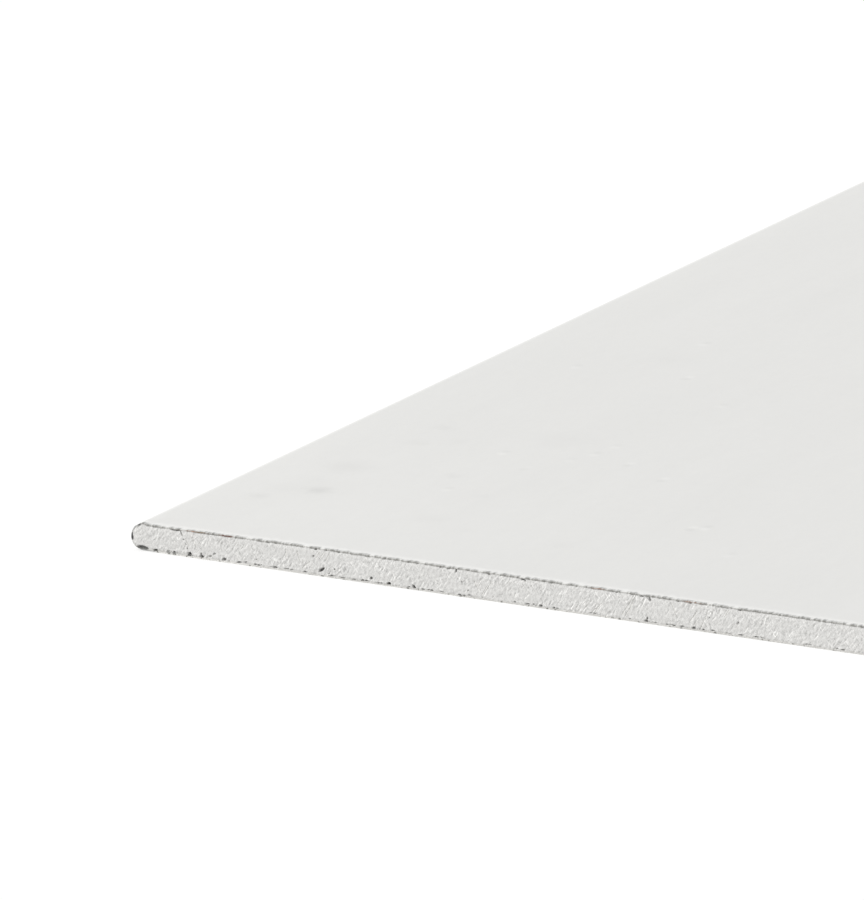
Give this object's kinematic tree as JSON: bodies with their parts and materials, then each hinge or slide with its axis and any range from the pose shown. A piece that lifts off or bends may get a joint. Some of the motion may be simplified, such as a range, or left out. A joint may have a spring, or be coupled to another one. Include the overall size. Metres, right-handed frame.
{
  "type": "drywall sheet",
  "caption": "Flat gypsum board with a white face paper wrapped round its tapered, half-round long edges, square-cut ends and a grey back paper.",
  "frame": {"origin": "centre of the back of the sheet, on the surface that it lies on", "axes": "+Y along the sheet's length, +X across its width, +Z out of its face"},
  "size_m": [1.2, 2.4, 0.0125],
  "materials": {
    "gypsum": "matte",
    "face_paper": "matte",
    "back_paper": "matte"
  },
  "bodies": {
    "root": {"gypsum_core": "gypsum", "face_paper": "face_paper", "back_paper": "back_paper"}
  },
  "joints": []
}
